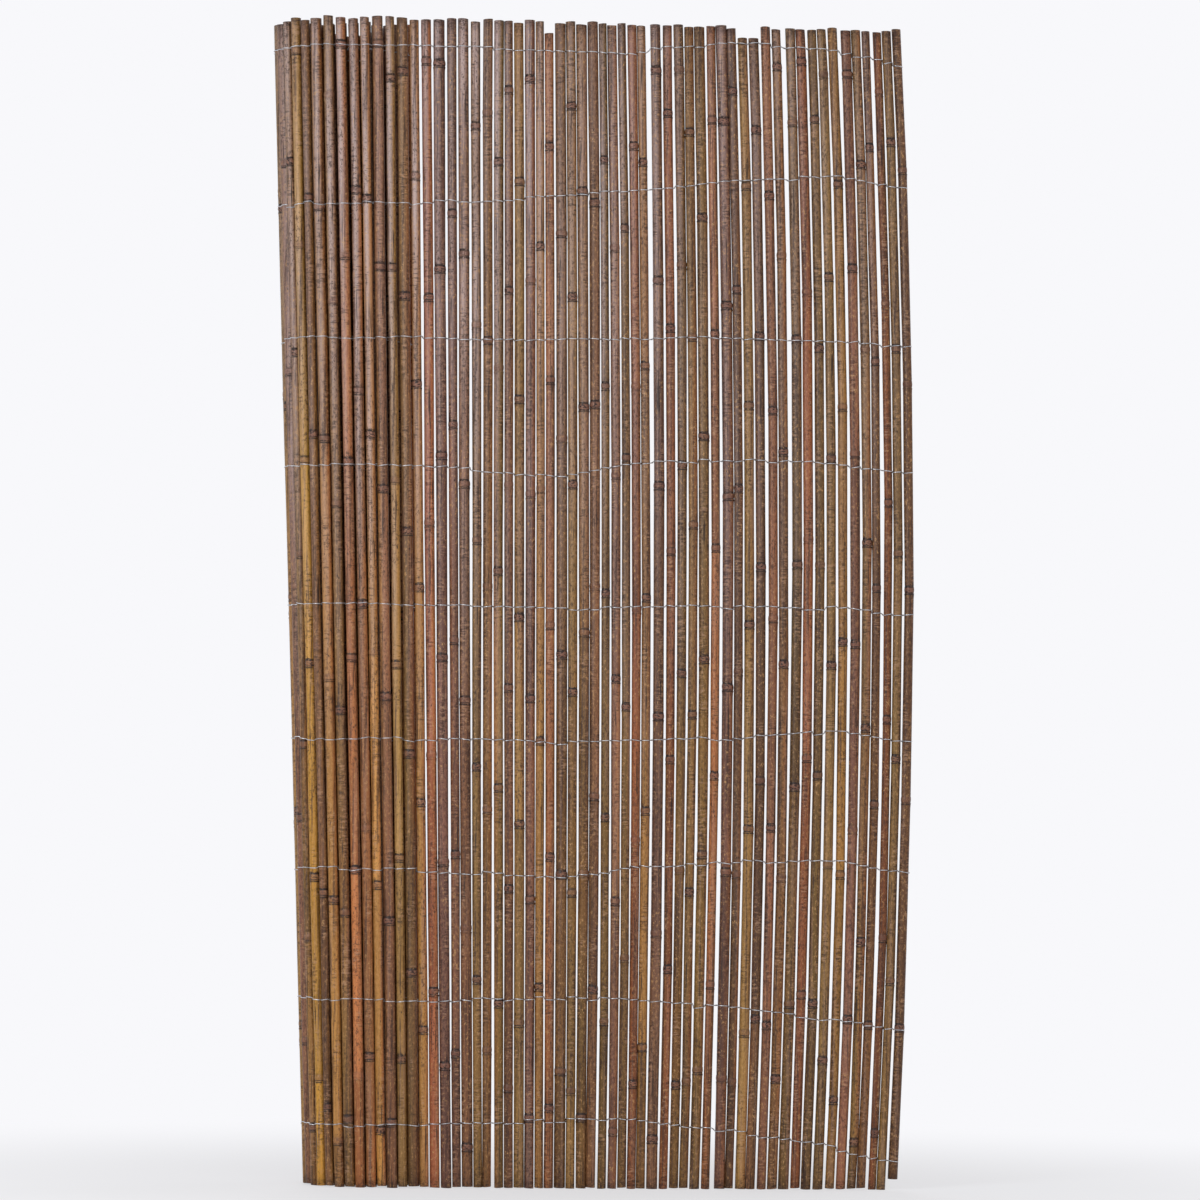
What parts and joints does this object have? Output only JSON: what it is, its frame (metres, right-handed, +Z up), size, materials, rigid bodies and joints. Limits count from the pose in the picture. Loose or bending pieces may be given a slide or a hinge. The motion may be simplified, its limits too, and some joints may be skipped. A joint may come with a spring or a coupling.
{
  "type": "bamboo cane fence panel",
  "caption": "Garden fence of whole thin bamboo canes stood side by side and bound by rows of twisted wire, rolled up at one end and unrolled to a flat panel at the other.",
  "frame": {"origin": "middle of the footprint, on the floor the cane feet stand on", "axes": "+Z up along the canes, +X from the roll to the free end of the panel, +Y from the panel's front to its back, where the roll lies"},
  "size_m": [0.5566, 0.1286, 1],
  "materials": {
    "bamboo": "smooth natural cane skin, browned",
    "wire": "galvanised, dull"
  },
  "bodies": {
    "root": {"binding_wire_1": "wire", "binding_wire_2": "wire", "binding_wire_3": "wire", "binding_wire_4": "wire", "binding_wire_5": "wire", "binding_wire_6": "wire", "binding_wire_7": "wire", "binding_wire_8": "wire", "binding_wire_9": "wire", "cane_01": "bamboo", "cane_02": "bamboo", "cane_03": "bamboo", "cane_04": "bamboo", "cane_05": "bamboo", "cane_06": "bamboo", "cane_07": "bamboo", "cane_08": "bamboo", "cane_09": "bamboo", "cane_10": "bamboo", "cane_11": "bamboo", "cane_12": "bamboo", "cane_13": "bamboo", "cane_14": "bamboo", "cane_15": "bamboo", "cane_16": "bamboo", "cane_17": "bamboo", "cane_18": "bamboo", "cane_19": "bamboo", "cane_20": "bamboo", "cane_21": "bamboo", "cane_22": "bamboo", "cane_23": "bamboo", "cane_24": "bamboo", "cane_25": "bamboo", "cane_26": "bamboo", "cane_27": "bamboo", "cane_28": "bamboo", "cane_29": "bamboo", "cane_30": "bamboo", "cane_31": "bamboo", "cane_32": "bamboo", "cane_33": "bamboo", "cane_34": "bamboo", "cane_35": "bamboo", "cane_36": "bamboo", "cane_37": "bamboo", "cane_38": "bamboo", "cane_39": "bamboo", "cane_40": "bamboo", "cane_41": "bamboo", "cane_42": "bamboo", "cane_43": "bamboo", "roll_front_canes": "bamboo", "roll_inner_turns": "bamboo", "roll_outer_canes": "bamboo"}
  },
  "joints": []
}
